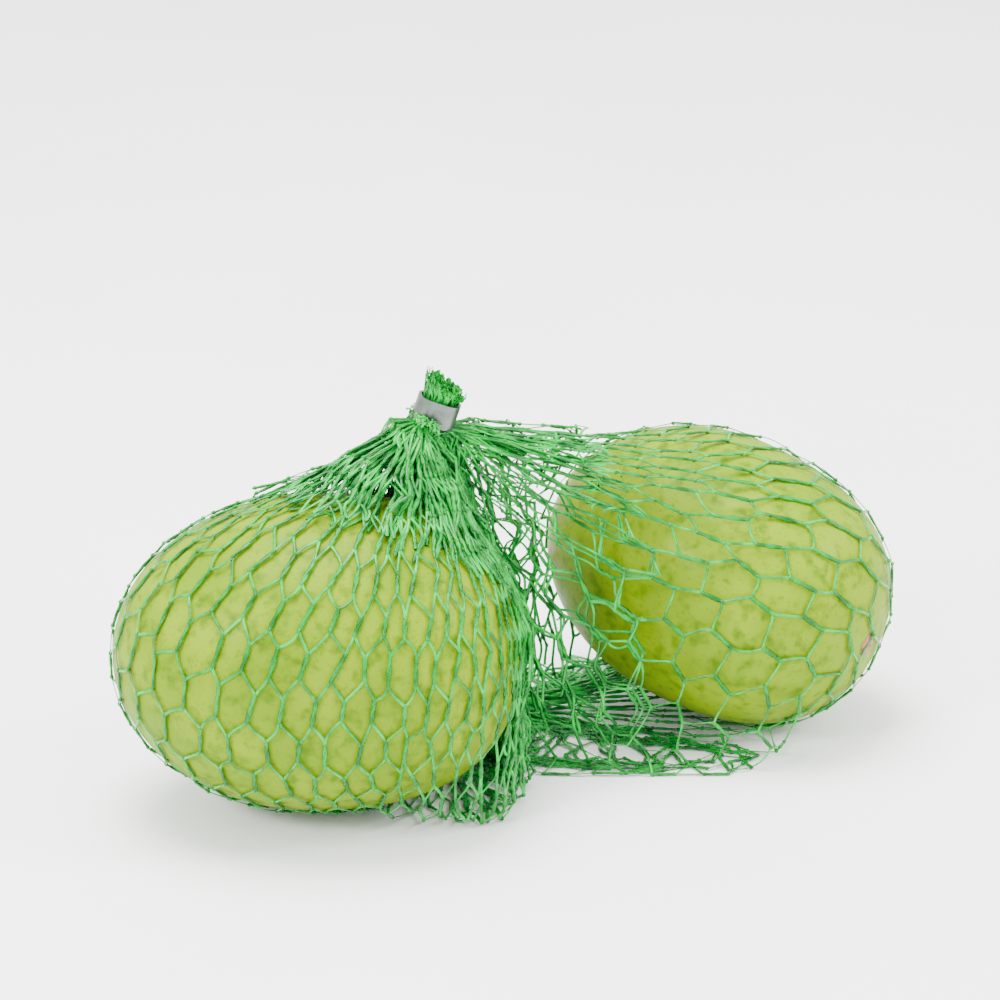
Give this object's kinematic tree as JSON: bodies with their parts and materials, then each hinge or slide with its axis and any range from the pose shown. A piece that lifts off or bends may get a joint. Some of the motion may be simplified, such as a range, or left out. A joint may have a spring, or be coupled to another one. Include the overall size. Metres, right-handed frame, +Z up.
{
  "type": "mesh produce bag",
  "caption": "Knitted green tube net round two limes, gathered to a neck under a crimped flat band clip with a tuft of cut net ends, and clipped below.",
  "frame": {"origin": "on the table, under the middle of the bag's box", "axes": "+X along the bag from the left lime to the right lime, +Y to the back, +Z up"},
  "size_m": [0.1334, 0.0934, 0.071],
  "materials": {
    "net": "glossy knitted polyethylene tape, translucent green",
    "clip_metal": "satin rolled strip",
    "lime_peel": "waxy peel with oil gland dimples",
    "stem_button": "dry, matt"
  },
  "bodies": {
    "left_lobe": {"net_left_lobe": "net", "net_shoulder": "net"},
    "waist": {"net_waist": "net", "bottom_gather": "net", "bottom_bundle": "net", "bottom_clip_band": "clip_metal", "bottom_tuft": "net"},
    "right_lobe": {"net_right_lobe": "net"},
    "neck": {"neck_gather": "net"},
    "top_clip": {"top_bundle": "net", "top_clip_band": "clip_metal", "top_tuft": "net"},
    "left_lime": {"left_lime_fruit": "lime_peel", "left_lime_button": "stem_button"},
    "right_lime": {"right_lime_fruit": "lime_peel", "right_lime_button": "stem_button"}
  },
  "joints": [
    {"name": "waist_swing", "type": "hinge", "parent": "left_lobe", "child": "waist", "pos_m": [0.00165, 0.00002, 0.024], "axis": [0, 0, 1], "range_deg": [-20, 20], "deforming": ["net_waist"]},
    {"name": "waist_fold", "type": "hinge", "parent": "waist", "child": "right_lobe", "pos_m": [0.00165, 0.00002, 0.024], "axis": [0.4982, -0.867, 0], "range_deg": [-40, 50], "deforming": ["net_waist"]},
    {"name": "neck_side_tilt", "type": "hinge", "parent": "left_lobe", "child": "neck", "pos_m": [-0.01585, -0.00743, 0.0545], "axis": [0, 1, 0], "range_deg": [-45, 25]},
    {"name": "neck_fore_tilt", "type": "hinge", "parent": "neck", "child": "top_clip", "pos_m": [-0.01376, -0.00743, 0.06055], "axis": [1, 0, 0], "range_deg": [-35, 35]},
    {"name": "left_lime_turn", "type": "hinge", "parent": "left_lobe", "child": "left_lime", "pos_m": [-0.03185, -0.01923, 0.0269], "axis": [0.9976, 0.0698, 0], "continuous": true},
    {"name": "right_lime_turn", "type": "hinge", "parent": "right_lobe", "child": "right_lime", "pos_m": [0.03515, 0.01927, 0.02573], "axis": [0.8172, -0.5307, -0.225], "continuous": true}
  ]
}
